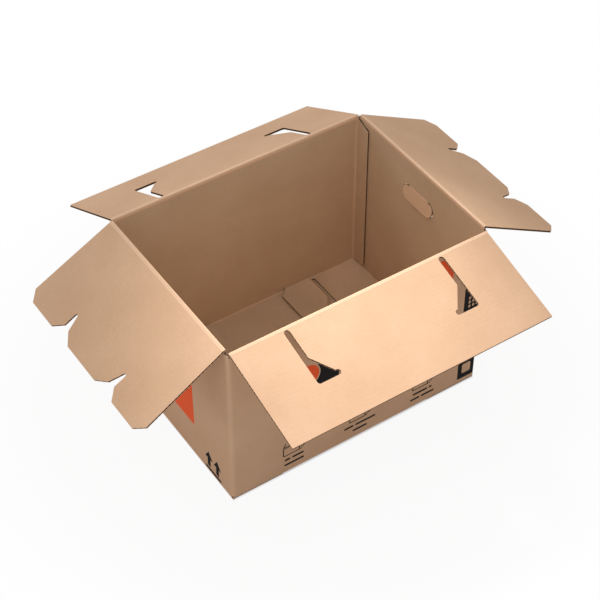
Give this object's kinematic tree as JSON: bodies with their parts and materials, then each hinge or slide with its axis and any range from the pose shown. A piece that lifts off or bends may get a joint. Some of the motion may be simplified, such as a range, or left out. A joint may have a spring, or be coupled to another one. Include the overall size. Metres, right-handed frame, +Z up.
{
  "type": "moving box",
  "caption": "Corrugated board moving box with its floor locked, four hinged top flaps that lock by slots and lobes, and push-in hand holes.",
  "frame": {"origin": "on the ground, under the middle of the box's overall extents with its flaps open", "axes": "+Z up, +X along the long walls towards the end with the glued joint, -Y towards the front wall"},
  "size_m": [0.9274, 0.7876, 0.4008],
  "materials": {
    "kraft_board": "matt brown kraft liner",
    "fluting": "raw cut edge of the fluted middle layer",
    "orange_ink": "matt orange print on the board",
    "black_ink": "matt black print on the board"
  },
  "bodies": {
    "carton": {"carton": "kraft_board"},
    "front_flap": {"front_flap": "kraft_board"},
    "back_flap": {"back_flap": "kraft_board"},
    "left_flap": {"left_flap": "kraft_board"},
    "right_flap": {"right_flap": "kraft_board"},
    "left_hand_flap": {"left_hand_flap": "kraft_board"},
    "right_hand_flap": {"right_hand_flap": "kraft_board"}
  },
  "joints": [
    {"name": "front_flap_fold", "type": "hinge", "parent": "carton", "child": "front_flap", "pos_m": [0, -0.19669, 0.3944], "axis": [-1, 0, 0], "range_deg": [-49.2, 195.8]},
    {"name": "back_flap_fold", "type": "hinge", "parent": "carton", "child": "back_flap", "pos_m": [0, 0.21331, 0.3944], "axis": [1, 0, 0], "range_deg": [-36.5, 208.5]},
    {"name": "left_flap_fold", "type": "hinge", "parent": "carton", "child": "left_flap", "pos_m": [-0.2815, 0.00831, 0.3988], "axis": [0, 1, 0], "range_deg": [-36.1, 208.9]},
    {"name": "right_flap_fold", "type": "hinge", "parent": "carton", "child": "right_flap", "pos_m": [0.2815, 0.00831, 0.3988], "axis": [0, -1, 0], "range_deg": [-36.1, 208.9]},
    {"name": "left_hand_flap_fold", "type": "hinge", "parent": "carton", "child": "left_hand_flap", "pos_m": [-0.2815, 0.00831, 0.3365], "axis": [0, -1, 0], "range_deg": [-8, 82]},
    {"name": "right_hand_flap_fold", "type": "hinge", "parent": "carton", "child": "right_hand_flap", "pos_m": [0.2815, 0.00831, 0.3365], "axis": [0, 1, 0], "range_deg": [-8, 82]}
  ]
}
